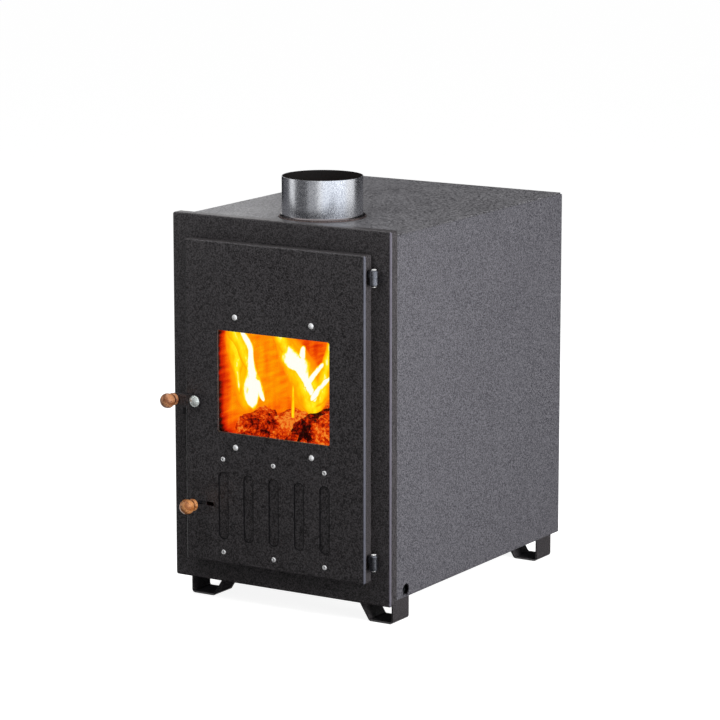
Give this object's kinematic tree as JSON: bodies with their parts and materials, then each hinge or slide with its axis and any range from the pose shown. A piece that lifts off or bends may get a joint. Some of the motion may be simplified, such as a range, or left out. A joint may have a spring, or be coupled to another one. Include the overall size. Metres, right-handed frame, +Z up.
{
  "type": "hot tub wood stove",
  "caption": "Upright black water-jacketed wood stove with a glazed air-vented door, round wooden knobs, bent feet and a round flue spigot.",
  "frame": {"origin": "on the floor, under the middle of the whole outline", "axes": "+X to the right seen from the door, +Y to the back along the water pipes, +Z up along the flue"},
  "size_m": [0.438, 0.733, 0.7405],
  "materials": {
    "black_powder_coat": "fine-textured satin black powder coat",
    "firebox_steel": "hot-rolled steel, sooted by the fire",
    "stainless_steel": "rolled stainless steel, lightly brushed",
    "galvanised_sheet": "dull galvanised sheet",
    "zinc_plate": "bright zinc plate",
    "grate_iron": "as cast",
    "beech_wood": "turned, clear satin lacquer",
    "fire_glass": "clear glass ceramic",
    "glass_fibre_rope": "knitted glass fibre"
  },
  "bodies": {
    "casing": {"front_panel": "black_powder_coat", "side_panel_left": "black_powder_coat", "side_panel_right": "black_powder_coat", "rear_panel": "black_powder_coat", "rear_panel_screws": "zinc_plate", "top_cover": "black_powder_coat", "base_plate": "black_powder_coat", "foot_front_left": "black_powder_coat", "foot_front_right": "black_powder_coat", "foot_rear_left": "black_powder_coat", "foot_rear_right": "black_powder_coat", "firebox": "firebox_steel", "water_jacket": "firebox_steel", "water_pipe_return": "stainless_steel", "water_pipe_flow": "stainless_steel", "drain_pipe": "stainless_steel", "smoke_tube": "firebox_steel", "flue_spigot": "stainless_steel", "grate_rails": "firebox_steel", "baffle_rails": "firebox_steel", "grate": "grate_iron", "baffle_plate": "firebox_steel", "ash_pan": "galvanised_sheet", "latch_catch": "black_powder_coat", "hinge_frame_lower": "black_powder_coat", "hinge_frame_upper": "black_powder_coat", "hinge_pins": "zinc_plate"},
    "door": {"door_panel": "black_powder_coat", "seal_frame": "firebox_steel", "rope_seal": "glass_fibre_rope", "glass_tape": "glass_fibre_rope", "window_glass": "fire_glass", "glass_clamp_lower": "galvanised_sheet", "glass_clamp_upper": "galvanised_sheet", "glass_bolts": "zinc_plate", "glass_nuts": "zinc_plate", "slide_guide_lower": "galvanised_sheet", "slide_guide_upper": "galvanised_sheet", "guide_rivets": "zinc_plate", "hinge_door_lower": "black_powder_coat", "hinge_door_upper": "black_powder_coat", "latch_bolt": "zinc_plate", "latch_washer": "zinc_plate", "latch_nut": "zinc_plate"},
    "latch": {"latch_lever": "black_powder_coat", "latch_hook": "black_powder_coat", "latch_knob": "beech_wood", "latch_knob_screw": "zinc_plate"},
    "air_slider": {"air_slide": "black_powder_coat", "air_stem": "zinc_plate", "air_knob": "beech_wood"}
  },
  "joints": [
    {"name": "door_hinge", "type": "hinge", "parent": "casing", "child": "door", "pos_m": [0.193, -0.3025, 0.358], "axis": [0, 0, 1], "range_deg": [0, 160]},
    {"name": "latch_pivot", "type": "hinge", "parent": "door", "child": "latch", "pos_m": [-0.1565, -0.3185, 0.358], "axis": [0, 1, 0], "range_deg": [-15, 25]},
    {"name": "air_slide_travel", "type": "slide", "parent": "door", "child": "air_slider", "axis": [1, 0, 0], "range_m": [0, 0.02565]}
  ]
}
